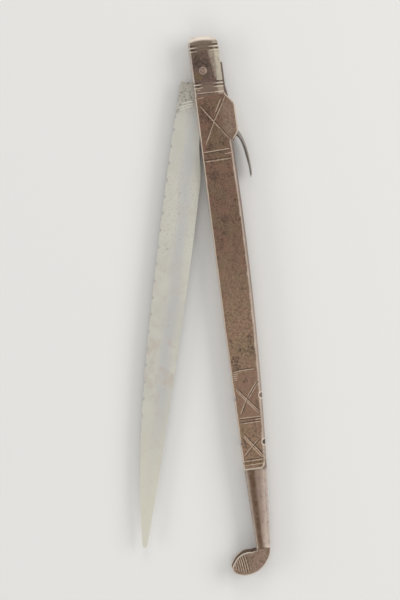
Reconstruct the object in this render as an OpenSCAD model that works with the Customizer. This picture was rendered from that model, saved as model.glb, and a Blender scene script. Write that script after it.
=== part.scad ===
// Clasp knife with an iron handle, a long tapered blade and a rocker lock on its back.
// The pivot axis is the Z axis. +X runs from the pivot to the tail, +Y is the back of the
// handle, where the lock lever stands, and the blade leaves through the slot on the -Y side.
// The outer face of the rear half lies on Z = 0. The blade is drawn partly open.

/* [Handle] */
// From the pivot axis to the end of the cheeks
body_len = 201; // [190:1:212]
// Thickness of one cheek plate
cheek_t = 2.8; // [2.4:0.1:3.4]
// From the pivot axis to the slot edge
slot_drop = 5.6; // [5.6:0.05:6.4]
// Slot edge at the end of the cheeks
slot_end = 5; // [4.8:0.05:5.4]
// Greatest height of the back over the pivot axis
back_h = 10.9; // [10.5:0.1:11.6]
// Radius of the long curve of the back
back_r = 1600; // [1500:20:2000]
// Where the back is highest
back_peak_x = 80; // [70:1:90]
// Rounding of the outer edge along the back
back_round = 1.9; // [1:0.1:2.2]
// Bevel of the outer edge along the slot
slot_bevel = 0.5; // [0.2:0.1:0.8]
// Height of the strip that closes the back between the cheeks
strip_h = 2; // [1.6:0.1:2.4]
// Radius of the half-round notches filed in the slot edge
edge_notch_r = 1; // [0.6:0.1:1.2]
// Radius of the scallops filed in the rounding of the back
scallop_r = 1.3; // [0.8:0.1:1.5]
// Depth of those scallops below the face
scallop_d = 1.5; // [1:0.1:1.7]

/* [Head] */
// From the pivot axis to the front end of the head
head_front = 17.5; // [17:0.1:19]
// Height of the head over the pivot axis
head_back = 9.3; // [9:0.1:9.8]
// From the pivot axis to the rear end of the bolsters
bolster_end = 12.6; // [12:0.1:14]
// Thickness of one bolster
bolster_t = 1.7; // [1.4:0.1:1.9]
// Width of the soft facet round the back and the front end of the head
head_facet_w = 4.4; // [3.6:0.1:4.5]
// Depth of that facet at its outer edge
head_facet_d = 1.5; // [1:0.1:1.6]
// Width of the rounding of the head along the slot
chin_w = 1.2; // [0.8:0.1:1.6]
// Depth of that rounding at the side
chin_d = 0.9; // [0.5:0.1:1.1]
// Radius of the slightly arched front end
head_front_r = 22; // [18:1:40]
// Corner radius of the head at the back
head_corner_r = 4.6; // [4.2:0.1:5]
// Corner radius of the head at the slot
chin_corner_r = 3.2; // [2.4:0.1:3.4]
// Depth of the turned ring grooves
ring_depth = 0.4; // [0.2:0.1:0.6]
// Width of the turned ring grooves
ring_w = 0.8; // [0.5:0.1:1]

/* [Ears] */
// From the pivot axis to the lever pin, along the handle
pin_x = 24.5; // [23.5:0.1:25.5]
// From the pivot axis to the lever pin, across the handle
pin_y = 10.6; // [10.3:0.1:10.8]
// Radius of the lever pin
lever_pin_r = 1.4; // [1.2:0.05:1.6]
// Half the length of an ear, half way up its slopes
ear_half = 9.3; // [9:0.1:9.8]
// Height of an ear over the pivot axis
ear_top = 13.7; // [13.4:0.1:14.2]
// Angle of the slopes at both ends of an ear
ear_slope = 38; // [32:1:46]
// Radius between the top of an ear and its slopes
ear_r = 4.2; // [3:0.1:5]
// Radius between the slopes and the back of the handle
ear_foot_r = 2.4; // [1.6:0.1:3]
// Width of the rounding of the outer edge of an ear
ear_edge_w = 0.9; // [0.6:0.1:1.1]
// Depth of that rounding at the side
ear_edge_d = 0.6; // [0.3:0.1:0.7]

/* [Blade] */
// Thickness of the blade at the spine
blade_t = 4; // [3.8:0.1:4.4]
// Clearance between the blade and each cheek
side_gap = 0.2; // [0.15:0.01:0.3]
// How far the blade stands open from the closed position
open_angle = 14.1; // [10:0.1:20]
// Radius of the round end of the tang
tang_r = 5.5; // [5.35:0.05:5.55]
// From the pivot axis to the heel face
heel_x = 6.1; // [6:0.1:6.4]
// Depth of the spine at the heel, below the pivot axis
heel_h = 10.5; // [10:0.1:11]
// Greatest depth of the spine
spine_h = 12.1; // [11.6:0.1:12.6]
// Greatest height of the cutting edge over the pivot axis
edge_h = 5.3; // [5:0.1:5.5]
// Half the flat left at the cutting edge
edge_half_t = 0.08; // [0.05:0.01:0.15]
// Width of the bevel along the cutting edge
bevel_w = 1.8; // [1:0.1:2.4]
// Number of notches filed in the spine
notch_count = 19; // [12:1:20]
// Distance between two notches
notch_pitch = 8.5; // [8:0.1:9]
// Radius of a notch
notch_r = 0.95; // [0.6:0.05:1.2]
// Depth of the lock notch in the tang
lock_depth = 1.95; // [1.8:0.05:2]

/* [Pivot] */
// Radius of the rivet that the blade turns on
pivot_r = 1.75; // [1.6:0.05:1.9]
// Radius of the raised head of that rivet
pivot_head_r = 2; // [1.9:0.05:2.4]
// Height of the raised head
pivot_head_h = 0.5; // [0.3:0.1:0.8]
// Radius of the thin washers beside the tang
washer_r = 4.2; // [3.6:0.1:4.2]
// Running clearance of a hole around its pin
run_gap = 0.05; // [0.03:0.01:0.08]
// Clearance of a fixed pin in its hole
seat_gap = 0.02; // [0.01:0.01:0.04]

/* [Lock lever] */
// Height of the lever arm over the back of the head
arm_proud = 0.8; // [0.5:0.05:1]
// Length of the lock tooth along the handle
tooth_w = 2.8; // [2.6:0.1:2.8]
// Clearance between the tooth and the tang while the blade turns
tooth_gap = 0.14; // [0.1:0.01:0.16]
// Thickness of the leaf spring
spring_t = 0.8; // [0.6:0.05:1]
// Radius of the pin that the closed blade rests on
stop_pin_r = 1.5; // [1.2:0.1:1.6]

/* [Tail] */
// Length of the tapered tail
tail_len = 40; // [36:0.5:44]
// Thickness of the tail over both halves
tail_t = 8.6; // [8:0.1:9]
// Width of the soft facet along the back of the tail
tail_facet_w = 5.2; // [4:0.1:6]
// Depth of that facet at its outer edge
tail_facet_d = 1.6; // [1:0.1:1.7]
// Rounding of the tail along the slot
tail_round = 1.1; // [0.6:0.1:1.4]
// Thickness of the knob over both plates
knob_t = 7.2; // [6.8:0.1:8]
// How far the rear plate of the knob stands past the front one
knob_past = 0.9; // [0:0.1:1]
// Radius of the small rivets
rivet_r = 0.7; // [0.5:0.05:0.8]

/* [Hidden] */
$fn = 64;

iron = [0.36, 0.29, 0.24];
worn_iron = [0.45, 0.38, 0.32];
steel = [0.66, 0.67, 0.62];
brass = [0.72, 0.58, 0.38];

// Thickness from the rear face to the front face, and the space between the cheeks
cavity = blade_t + 2 * side_gap;
handle_t = cavity + 2 * cheek_t;
mid_z = handle_t / 2;
far_fn = 1440;
recess = 0.1;
past = 1;

// The back of the handle is an arc about this centre
back_c = [back_peak_x, back_h - back_r];
function back_y(x) = back_c.y + sqrt(back_r * back_r - (x - back_c.x) * (x - back_c.x));
function back_angle(x) = 90 - asin((x - back_c.x) / back_r);
// The slot edge runs straight and then rises a little, and its bevel follows the chord
slot_bend_x = 130;
function slot_rise(x, from) = (slot_drop - slot_end) * (x - from) / (body_len - from);
function slot_y(x) = -slot_drop + max(slot_rise(x, slot_bend_x), 0);
function chord_y(x) = -slot_drop + slot_rise(x, bolster_end);
edge_notch_x = [body_len - 36.2, body_len - 13.7];
scallop_x = [body_len - 36.5, body_len - 13.1];

// Points on a smooth curve through a few chosen points
function blend(a, b, c, d, t) = 0.5 * (2 * b + (c - a) * t + (2 * a - 5 * b + 4 * c - d) * t * t
    + (3 * b - a - 3 * c + d) * t * t * t);
function curve(p, n) = concat(
    [for (i = [0:len(p) - 2], k = [0:n - 1])
        blend(p[max(i - 1, 0)], p[i], p[i + 1], p[min(i + 2, len(p) - 1)], k / n)],
    [p[len(p) - 1]]);
function arc(r, from, to, n) = [for (i = [0:n]) let (a = from + (to - from) * i / n)
    [r * cos(a), r * sin(a)]];
function ease(a, b, x) = let (t = min(max((x - a) / (b - a), 0), 1)) t * t * (3 - 2 * t);

// The front half of the handle is the mirror image of the rear half
module as_front() translate([0, 0, handle_t]) mirror([0, 0, 1]) children();

// Upright cylinder from one height to another
module post(x, y, r, from, to) translate([x, y, from]) cylinder(r = r, h = to - from);

// Corner to be cut away along an outer edge, w wide on the face and d deep at the side.
// The first axis points out of the side, the second from the face into the plate. The cut is
// an arc that leaves the face smoothly; sunk moves all of it deeper, for a groove across it.
function edge_r(w, d) = (w * w + d * d) / (2 * d);
function cut_depth(w, d) = min(d + past, edge_r(w, d));
module edge_profile(w, d, sunk = 0) difference() {
    translate([-w, -past]) square([w + past, past + sunk + cut_depth(w, d)]);
    translate([-w, edge_r(w, d)]) circle(edge_r(w, d) - sunk);
}
// The same corner along a hollow edge, where the first axis points into the side
module hollow_profile(w, d) difference() {
    translate([-past, -past]) square([past + w, past + cut_depth(w, d)]);
    translate([w, edge_r(w, d)]) circle(edge_r(w, d));
}
// Both carry an edge profile: along a line whose outer side is on its left unless turned,
// and round an arc whose outer side is outwards
module along_line(from, to, turn = 0) {
    run = to - from;
    translate([from.x, from.y, 0]) rotate([0, 0, atan2(run.y, run.x)])
        rotate([90, 0, 90]) linear_extrude(norm(run)) mirror([turn, 0]) children();
}
module along_arc(c, radius, from, sweep, fn = 96) translate([c.x, c.y, 0]) rotate([0, 0, from])
    rotate_extrude(angle = sweep, $fn = fn) translate([radius, 0]) children();

// Where a straight cut meets a curved one they cross. Round an outer corner the cut is a hair
// shallower than its straight neighbours, which run on past its ends. Round a hollow corner it
// is a hair deeper and runs on into them.
hair = 0.03;
run_on = 0.9;
run_on_turn = 14;

// What lies outside a corner that is rounded about c, between two directions
module outside_corner(c, r, a, b) difference() {
    reach = 2 * r;
    polygon([c, c + reach * a, c + reach * (a + b), c + reach * b]);
    translate(c) circle(r);
}
function toward(angle) = [cos(angle), sin(angle)];

// Head

// The front end is an arc, and each corner circle touches it from inside
front_c = [-head_front + head_front_r, 0.8];
front_fn = 240;
function corner_c(r, y) = [
    front_c.x - sqrt(pow(head_front_r - r, 2) - pow(y - front_c.y, 2)), y];
back_corner = corner_c(head_corner_r, head_back - head_corner_r);
chin_corner = corner_c(chin_corner_r, -slot_drop + chin_corner_r);
function from_front_c(p) = atan2(p.y - front_c.y, p.x - front_c.x);
back_touch = from_front_c(back_corner);
chin_touch = from_front_c(chin_corner) + 360;

module head_plan(to) difference() {
    intersection() {
        translate([-head_front, -slot_drop]) square([to + head_front, head_back + slot_drop]);
        translate(front_c) circle(head_front_r, $fn = front_fn);
    }
    outside_corner(back_corner, head_corner_r, toward(90), toward(back_touch));
    outside_corner(chin_corner, chin_corner_r, toward(chin_touch), toward(270));
}

// Soft facet round the back and the front end, and the small rounding along the slot
module head_edges(to) {
    along_line([back_corner.x, head_back], [to, head_back]) head_facet();
    along_arc(back_corner, head_corner_r, 90, back_touch - 90) head_facet();
    along_arc(front_c, head_front_r, back_touch, chin_touch + 8 - back_touch, front_fn)
        head_facet();
    along_arc(chin_corner, chin_corner_r + hair, chin_touch, 270 - chin_touch) chin_profile();
    along_line([chin_corner.x - run_on, -slot_drop], [to, -slot_drop], 1) chin_profile();
}
module head_facet(sunk = 0) edge_profile(head_facet_w, head_facet_d, sunk);
module chin_profile(sunk = 0) edge_profile(chin_w, chin_d, sunk);

// A turned groove at x: what lies outside a smaller copy of the section, whose two outer
// corners are cut by the profiles handed in, the back one first
module ring_groove(x, low, high) translate([x - ring_w / 2, 0, 0]) rotate([90, 0, 90])
    linear_extrude(ring_w) difference() {
        translate([low - past, -past]) square([high - low + 2 * past, handle_t / 2 + past]);
        difference() {
            translate([low + ring_depth, ring_depth])
                square([high - low - 2 * ring_depth, handle_t]);
            translate([high, 0]) children(0);
            translate([low, 0]) mirror([1, 0]) children(1);
        }
    }
head_rings = [-head_front + 4.9, -head_front + 6.8, bolster_end - 6.6, bolster_end - 4.9];
module head_grooves() for (x = head_rings) ring_groove(x, -slot_drop, head_back) {
    head_facet(ring_depth);
    chin_profile(ring_depth);
}

bolster_rivet_at = [[-head_front + 3.6, 1.6], [bolster_end - 2.6, 1.6]];

module bolster() difference() {
    linear_extrude(bolster_t) head_plan(bolster_end);
    head_edges(bolster_end);
    head_grooves();
    post(0, 0, pivot_r + seat_gap, -past, handle_t);
    for (p = bolster_rivet_at) post(p.x, p.y, rivet_r + seat_gap, -past, handle_t);
}

// Cheeks

// An ear is a low trapezoid with rounded shoulders, eased into the back by a hollow foot.
// Side -1 is the end towards the head and side 1 the end towards the tail.
ear_x = pin_x + 0.6;
ear_mid_y = (ear_top + back_h - past / 2) / 2;
function ear_end_x(side, y) = ear_x + side * (ear_half + (ear_mid_y - y) / tan(ear_slope));
function shoulder_c(side) = [
    ear_end_x(side, ear_top) - side * ear_r * tan(ear_slope / 2), ear_top - ear_r];
function foot_y(side) = back_y(ear_end_x(side, back_y(ear_x)));
function foot_c(side) = [
    ear_end_x(side, foot_y(side)) + side * ear_foot_r * tan(ear_slope / 2),
    foot_y(side) + ear_foot_r];
// Direction square to a slope, pointing out of the ear
function slope_out(side) = toward(90 - side * ear_slope);

module ear_plan() {
    difference() {
        polygon([
            [ear_end_x(-1, foot_y(-1)), 0], [ear_end_x(-1, foot_y(-1)), foot_y(-1)],
            [ear_end_x(-1, ear_top), ear_top], [ear_end_x(1, ear_top), ear_top],
            [ear_end_x(1, foot_y(1)), foot_y(1)], [ear_end_x(1, foot_y(1)), 0]
        ]);
        for (side = [-1, 1])
            outside_corner(shoulder_c(side), ear_r, toward(90), slope_out(side));
    }
    for (side = [-1, 1]) difference() {
        c = foot_c(side);
        touch = c - ear_foot_r * slope_out(side);
        polygon([c, touch, [touch.x, foot_y(side) - past], [c.x, foot_y(side) - past]]);
        translate(c) circle(ear_foot_r);
    }
}
module ear_profile() edge_profile(ear_edge_w, ear_edge_d);
module ear_edges() {
    along_line([shoulder_c(-1).x - run_on, ear_top], [shoulder_c(1).x + run_on, ear_top])
        ear_profile();
    for (side = [-1, 1]) {
        low = foot_c(side) - ear_foot_r * slope_out(side);
        touch = shoulder_c(side) + ear_r * slope_out(side);
        high = touch + run_on * (touch - low) / norm(touch - low);
        along_line(side < 0 ? low : high, side < 0 ? high : low) ear_profile();
        along_arc(shoulder_c(side), ear_r + hair, side < 0 ? 90 : 90 - ear_slope, ear_slope)
            ear_profile();
        along_arc(foot_c(side), ear_foot_r + hair,
            (side < 0 ? 270 : 270 - ear_slope) - run_on_turn, ear_slope + 2 * run_on_turn)
            hollow_profile(ear_edge_w, ear_edge_d);
    }
}

// Outline inside the long curve of the back, lowered by a given amount
module under_back(lower) translate(back_c) circle(back_r - lower, $fn = far_fn);

module body_plan(from) difference() {
    intersection() {
        polygon([
            [from, -slot_drop], [slot_bend_x, -slot_drop], [body_len, -slot_end],
            [body_len, back_h + past], [from, back_h + past]
        ]);
        under_back(0);
    }
    for (x = edge_notch_x) translate([x, slot_y(x)]) circle(edge_notch_r);
}
module bevel_profile() polygon([
    [past, -past], [-slot_bevel - past, -past], [past, slot_bevel + past]
]);

lip_w = 3.6;
function strip_mid(x) = back_y(x) - strip_h / 2;
cheek_rivet_x = [for (part = [0.23, 0.31, 0.52, 0.65, 0.78, 0.89]) part * body_len];
stop_pin_at = [pin_x + 6.5, 3.95];
module back_profile(sunk = 0) edge_profile(back_round, back_round, sunk);

module cheek_body() difference() {
    union() {
        linear_extrude(cheek_t) head_plan(bolster_end + past);
        linear_extrude(cheek_t) body_plan(bolster_end);
        linear_extrude(cheek_t) ear_plan();
    }
    translate([0, 0, -past]) linear_extrude(past + bolster_t) head_plan(bolster_end);
    head_edges(bolster_end);
    head_grooves();
    ear_edges();
    along_arc(back_c, back_r, back_angle(body_len + past),
        back_angle(foot_c(1).x) - back_angle(body_len + past), far_fn) back_profile();
    along_line([bolster_end - run_on, chord_y(bolster_end - run_on)],
        [body_len + past, chord_y(body_len + past)], 1) bevel_profile();
    for (x = scallop_x) post(x, back_y(x) - 0.2, scallop_r, -past, scallop_d);
    ring_groove(body_len - lip_w, slot_y(body_len), back_y(body_len - lip_w)) {
        back_profile(ring_depth);
        edge_profile(2 * slot_bevel, slot_bevel, ring_depth);
    }
}
module cheek() difference() {
    cheek_body();
    post(0, 0, pivot_r + seat_gap, -past, handle_t);
    post(pin_x, pin_y, lever_pin_r + seat_gap, -past, handle_t);
    post(stop_pin_at.x, stop_pin_at.y, stop_pin_r + seat_gap, -past, handle_t);
    for (p = bolster_rivet_at) post(p.x, p.y, rivet_r + seat_gap, -past, handle_t);
    for (x = cheek_rivet_x) post(x, strip_mid(x), rivet_r + seat_gap, -past, handle_t);
}

// A rivet's ends are dressed flush: it is cut to the outer surface of the two halves it joins
module flush_rivets(xs, ys) intersection() {
    for (i = [0:len(xs) - 1]) post(xs[i], ys[i], rivet_r, 0, handle_t);
    union() {
        children();
        as_front() children();
        translate([0, 0, cheek_t]) linear_extrude(cavity) translate([0, -handle_t])
            square([knob_x, 3 * handle_t]);
    }
}

// Tail

knob_x = body_len + tail_len;
// The sides of the tail taper evenly from the first value to the second
tail_back = [back_y(body_len) - 0.1, 3.05];
tail_slot = [-slot_end + 0.1, -3.8];
function tail_back_y(x) = tail_back[0] + (tail_back[1] - tail_back[0]) * (x - body_len) / tail_len;
tail_in = (handle_t - tail_t) / 2;
knob_in = (handle_t - knob_t) / 2;

knob_points = curve([
    [-0.3, -3.4], [1, -5.6], [0.9, -8.2], [1.6, -11.6], [3.6, -14.4], [6.6, -16.6],
    [8.6, -17.2], [10.8, -15.9], [12.2, -12.4], [12.3, -8.6], [10.9, -4.2], [7.8, -0.3],
    [3.8, 2.2], [0, 2.95], [-4, 3.2]
], 5);
module knob_plan() translate([knob_x, 0]) polygon(concat(knob_points, [[-4, 0]]));
module knob_plate() translate([0, 0, knob_in]) linear_extrude(cheek_t - knob_in) knob_plan();
// The rear plate also reaches past the front one on the side of the gap
module knob_ledge() intersection() {
    translate(-knob_past * toward(35)) knob_plate();
    translate([knob_x, -handle_t * 2, 0]) cube(handle_t * 3);
}

tail_rivet_x = [for (part = [0.15, 0.45, 0.75]) body_len + part * tail_len];
knob_rivet_at = [knob_x + 8.9, -4.6];
tail_strip_h = 1.8;
tail_over = 0.6;
function tail_strip_mid(x) = tail_back_y(x) - tail_strip_h / 2;
function tail_slot_y(x) = tail_slot[0] + (tail_slot[1] - tail_slot[0]) * (x - body_len) / tail_len;

module tail_body() difference() {
    union() {
        translate([0, 0, tail_in]) linear_extrude(cheek_t - tail_in) polygon([
            [body_len, tail_slot_y(body_len)], [knob_x + tail_over, tail_slot_y(knob_x + tail_over)],
            [knob_x + tail_over, tail_back_y(knob_x + tail_over)], [body_len, tail_back_y(body_len)]
        ]);
        knob_plate();
    }
    translate([0, 0, tail_in]) {
        along_line([body_len - past, tail_back_y(body_len - past)], [knob_x, tail_back_y(knob_x)])
            edge_profile(tail_facet_w, tail_facet_d);
        along_line([body_len - past, tail_slot_y(body_len - past)],
            [knob_x + past, tail_slot_y(knob_x + past)], 1) edge_profile(tail_round, tail_round);
    }
}
module tail_half() difference() {
    union() {
        tail_body();
        children();
    }
    for (x = tail_rivet_x) post(x, tail_strip_mid(x), rivet_r + seat_gap, -past, handle_t);
    post(knob_rivet_at.x, knob_rivet_at.y, rivet_r + seat_gap, -past, handle_t);
}

// Strip between the cheeks, and on between the two halves of the tail
strip_x = pin_x + 11.5;
module cheek_strip_plan() difference() {
    intersection() {
        translate([strip_x, -past]) square([body_len - strip_x, back_h + 2 * past]);
        under_back(0);
    }
    under_back(strip_h);
}
module tail_strip_plan() polygon([
    [body_len - strip_h, tail_back_y(body_len)], [body_len, tail_back_y(body_len)],
    [knob_x, tail_back_y(knob_x)], [knob_x, tail_back_y(knob_x) - tail_strip_h],
    [body_len - strip_h, tail_back_y(body_len) - tail_strip_h]
]);

// Blade, drawn closed: its point lies in the tail and its spine outside the slot

tip_x = knob_x;
belly_x = 88;
ricasso_x = 24;
edge_peak_x = 80;
tip_drop = 2.2;
point_len = 1.5;
blunt_x = tip_x - point_len;
function spine_y(x) = x < belly_x
    ? -spine_h + (spine_h - heel_h) * pow((belly_x - x) / (belly_x - heel_x), 2.4)
    : -spine_h + (spine_h - tip_drop) * pow((x - belly_x) / (blunt_x - belly_x), 2.9);
choil_y = 2.3;
function edge_y(x) = x < edge_peak_x
    ? choil_y + (edge_h - choil_y) * ease(33, 57, x)
    : edge_h - (edge_h - 0.3) * pow((x - edge_peak_x) / (blunt_x - edge_peak_x), 1.5);
// Half the thickness at the spine, at the edge bevel and at the edge
function spine_z(x) = blade_t / 2 - (blade_t / 2 - 0.7) * pow(x / tip_x, 1.6);
grind_x = 33;
full_grind_x = 60;
function grind(x) = ease(grind_x, full_grind_x - 10, x);
function bevel_z(x) = blade_t / 2 * (1 - grind(x)) + 0.42 * grind(x) * (1.1 - 0.5 * x / tip_x);
function edge_z(x) = blade_t / 2 * (1 - grind(x)) + edge_half_t * grind(x);

blade_stations = concat(
    [for (i = [0:17]) ricasso_x + (full_grind_x - ricasso_x) * i / 17],
    [for (i = [1:30]) full_grind_x + (blunt_x - full_grind_x) * i / 30]);
function flat_z(x) = x <= grind_x
    ? blade_t / 2
    : spine_z(x) + (blade_t / 2 - spine_z(grind_x)) * (1 - ease(grind_x, full_grind_x, x));
function bevel_y(x) = edge_y(x) - bevel_w * min(1, (tip_x + 4 - x) / 30);
function section(x) = let (s = flat_z(x), b = min(bevel_z(x), s), e = min(edge_z(x), s)) [
    [x, spine_y(x), -s], [x, spine_y(x), s], [x, bevel_y(x), b],
    [x, edge_y(x), e], [x, edge_y(x), -e], [x, bevel_y(x), -b]
];
point_section = [for (p = section(blunt_x))
    [tip_x, -0.95 + (p.y + 0.95) * 0.3, p.z * 0.4]];
module ground_blade() {
    rings = concat([for (x = blade_stations) section(x)], [point_section]);
    n = 6;
    last = len(rings) - 1;
    polyhedron(
        points = [for (r = rings) each r],
        faces = concat(
            [[for (k = [n - 1:-1:0]) k]],
            [for (i = [0:last - 1], k = [0:n - 1]) let (a = i * n + k, b = i * n + (k + 1) % n)
                each [[a, b, b + n], [a, b + n, a + n]]],
            [[for (k = [0:n - 1]) last * n + k]]));
}

// Round end of the tang, with the lock notch behind the heel and the relief in which the
// tooth rests while the blade is closed
heel_gap = 0.2;
tooth_back = -heel_x + heel_gap + tooth_w;
tooth_bottom = sqrt(pow(tang_r + tooth_gap, 2) - pow(tooth_back, 2));
lock_wall_x = -tooth_back - 0.6;
lock_wall_y = sqrt(tang_r * tang_r - lock_wall_x * lock_wall_x);
relief_r = tang_r - 1.3;
relief = [acos(tooth_back / tang_r) - 7, 166];
tang_top = 60;
module tang_plan() polygon(concat(
    [[heel_x, -heel_h], [heel_x, -lock_wall_y + lock_depth], [lock_wall_x, -lock_wall_y + lock_depth]],
    arc(tang_r, atan2(-lock_wall_y, lock_wall_x), relief[1] - 360, 36),
    arc(relief_r, relief[1], relief[0], 16),
    arc(tang_r, relief[0], tang_top, 16),
    curve([[tang_r * cos(tang_top) + 0.6, tang_r * sin(tang_top) - 0.5], [9, 3.4], [15, 2.4],
        [ricasso_x, edge_y(ricasso_x)]], 6),
    [[ricasso_x, spine_y(ricasso_x)]]));

module closed_blade() difference() {
    union() {
        translate([0, 0, -blade_t / 2]) linear_extrude(blade_t) tang_plan();
        ground_blade();
    }
    cylinder(r = pivot_r + run_gap, h = blade_t + 2 * past, center = true);
    for (i = [0:notch_count - 1]) {
        x = 22.1 + notch_pitch * i;
        translate([x, spine_y(x) - 0.1, 0])
            cylinder(r = notch_r, h = blade_t + 2 * past, center = true, $fn = 32);
    }
}

// Lock lever: arm and tooth over the tang, pivot between the ears, thumb tail behind them

lever_t = blade_t;
arm_top = head_back + arm_proud;
arm_low = tang_r + 1.45;
nose_x = -heel_x + heel_gap;
heel_low = -1.7;
nose_top = head_back - 0.4;
arm_x = nose_x + 2.3;
// The end of the nose is round about the lever pin, so that it lifts past the heel face
nose_r = pin_x - nose_x;
function nose_angle(y) = 180 + asin((pin_y - y) / nose_r);
nose_end = [for (p = arc(nose_r, nose_angle(tooth_bottom), nose_angle(nose_top), 8)) p + [pin_x, pin_y]];
thumb_top = curve([
    [-10.4, arm_top - pin_y + 0.9], [-5, 1.9], [1, 2.3], [6.4, 3.1], [8.4, 4.25], [12.5, 5.7],
    [16.7, 6.6], [20.7, 7.1], [24.8, 7.4], [27.5, 7.45], [29.6, 7.25], [30.7, 6.95]
], 5);
thumb_under = curve([
    [30.6, 6.45], [28.7, 6.35], [24.6, 6.1], [20.5, 5.5], [16.4, 4.85], [12.2, 3.8], [9.7, 2.5],
    [8.3, 1], [7.6, -0.5], [7, heel_low + 0.3]
], 5);
heel_pad = [[6.7, heel_low], [4.4, heel_low]];
module lever_plan() difference() {
    polygon(concat(
        nose_end,
        [[arm_x, nose_top], [arm_x, arm_top], [8, arm_top]],
        [for (p = thumb_top) p + [pin_x, pin_y]],
        [for (p = concat(thumb_under, heel_pad)) p + [pin_x, pin_y]],
        curve([[pin_x, pin_y - 2.4], [pin_x - 6, pin_y - 2.9], [12, arm_low]], 5),
        [[tooth_back, arm_low], [tooth_back, tooth_bottom]]));
    translate([pin_x, pin_y]) circle(lever_pin_r + run_gap);
}

// Leaf spring under the strip: its free end lifts the heel of the lever
spring_fix = [44, 95];
spring_rivet_x = [74, 88];
function spring_y(x) = back_y(x) - strip_h;
module spring_plan() {
    difference() {
        intersection() {
            translate([spring_fix[0], 0]) square([spring_fix[1] - spring_fix[0], back_h]);
            under_back(strip_h);
        }
        under_back(strip_h + spring_t);
    }
    root = [spring_fix[0], spring_y(spring_fix[0])];
    tip = [pin_x + 5.2, pin_y + heel_low - 0.06];
    top = curve([
        root, [strip_x + 4, spring_y(strip_x + 4) - 0.1], [strip_x, spring_y(strip_x) - 0.12],
        [pin_x + 7.6, tip.y - 0.08], tip
    ], 5);
    polygon(concat(top, [for (i = [len(top) - 1:-1:0]) top[i] - [0, spring_t]]));
}
spring_head_h = 0.5;

// Nodes

module blade() color(steel) translate([0, 0, mid_z]) rotate([0, 0, -open_angle]) closed_blade();
module rear_cheek() color(iron) cheek();
module front_cheek() color(iron) as_front() cheek();
module rear_bolster() color(worn_iron) bolster();
module front_bolster() color(worn_iron) as_front() bolster();
module back_strip() color(worn_iron) difference() {
    translate([0, 0, cheek_t]) union() {
        linear_extrude(cavity) cheek_strip_plan();
        linear_extrude(cavity) tail_strip_plan();
    }
    for (x = cheek_rivet_x) post(x, strip_mid(x), rivet_r + seat_gap, 0, handle_t);
    for (x = tail_rivet_x) post(x, tail_strip_mid(x), rivet_r + seat_gap, 0, handle_t);
    for (x = spring_rivet_x) translate([x, 0, mid_z]) rotate([-90, 0, 0])
        cylinder(r = rivet_r + seat_gap, h = back_h + past);
}
module rear_tail() color(iron) tail_half() knob_ledge();
module front_tail() color(iron) as_front() tail_half();
module knob_spacer() color(worn_iron) difference() {
    translate([0, 0, cheek_t]) linear_extrude(cavity) difference() {
        intersection() {
            knob_plan();
            translate([knob_x + 0.3, -30]) square([30, 40]);
        }
        translate([-2.5, -1.2]) knob_plan();
    }
    post(knob_rivet_at.x, knob_rivet_at.y, rivet_r + seat_gap, 0, handle_t);
}
module pivot_rivet() color(brass) {
    cap_r = (pivot_head_r * pivot_head_r + pivot_head_h * pivot_head_h) / (2 * pivot_head_h);
    post(0, 0, pivot_r, recess, handle_t);
    translate([0, 0, handle_t]) intersection() {
        translate([0, 0, pivot_head_h - cap_r]) sphere(cap_r, $fn = 96);
        cylinder(r = pivot_head_r, h = pivot_head_h + past);
    }
}
module pivot_washers() color(brass) for (z = [cheek_t, handle_t - cheek_t - side_gap + seat_gap])
    difference() {
        post(0, 0, washer_r, z, z + side_gap - seat_gap);
        post(0, 0, pivot_r + seat_gap, 0, handle_t);
    }
module lock_lever() color(steel) translate([0, 0, mid_z - lever_t / 2])
    linear_extrude(lever_t) lever_plan();
module lever_pin() color(worn_iron) post(pin_x, pin_y, lever_pin_r, recess, handle_t - recess);
module lever_spring() color(steel) difference() {
    translate([0, 0, cheek_t + side_gap]) linear_extrude(cavity - 2 * side_gap) spring_plan();
    for (x = spring_rivet_x) translate([x, 0, mid_z]) rotate([-90, 0, 0])
        cylinder(r = rivet_r + seat_gap, h = back_h + past);
}
module spring_rivets() color(worn_iron) for (x = spring_rivet_x)
    translate([x, spring_y(x) - spring_t - spring_head_h - seat_gap, mid_z]) rotate([-90, 0, 0]) {
        cylinder(r = 2 * rivet_r, h = spring_head_h);
        cylinder(r = rivet_r, h = spring_head_h + spring_t + strip_h - recess);
    }
module stop_pin() color(worn_iron)
    post(stop_pin_at.x, stop_pin_at.y, stop_pin_r, recess, handle_t - recess);
module bolster_rivets() color(worn_iron) for (p = bolster_rivet_at) {
    post(p.x, p.y, rivet_r, recess, cheek_t);
    post(p.x, p.y, rivet_r, handle_t - cheek_t, handle_t - recess);
}
module cheek_rivets() color(worn_iron)
    flush_rivets(cheek_rivet_x, [for (x = cheek_rivet_x) strip_mid(x)]) cheek_body();
module tail_rivets() color(worn_iron)
    flush_rivets(tail_rivet_x, [for (x = tail_rivet_x) tail_strip_mid(x)]) tail_body();
module knob_rivet() color(worn_iron)
    post(knob_rivet_at.x, knob_rivet_at.y, rivet_r, knob_in + recess, handle_t - knob_in - recess);

blade();
front_cheek();
rear_cheek();
front_bolster();
rear_bolster();
back_strip();
front_tail();
rear_tail();
knob_spacer();
pivot_rivet();
pivot_washers();
lock_lever();
lever_pin();
lever_spring();
spring_rivets();
stop_pin();
bolster_rivets();
cheek_rivets();
tail_rivets();
knob_rivet();
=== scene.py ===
import math
import random

import bmesh
import bpy
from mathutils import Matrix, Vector
from mathutils.geometry import intersect_line_line_2d, intersect_point_line


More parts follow.
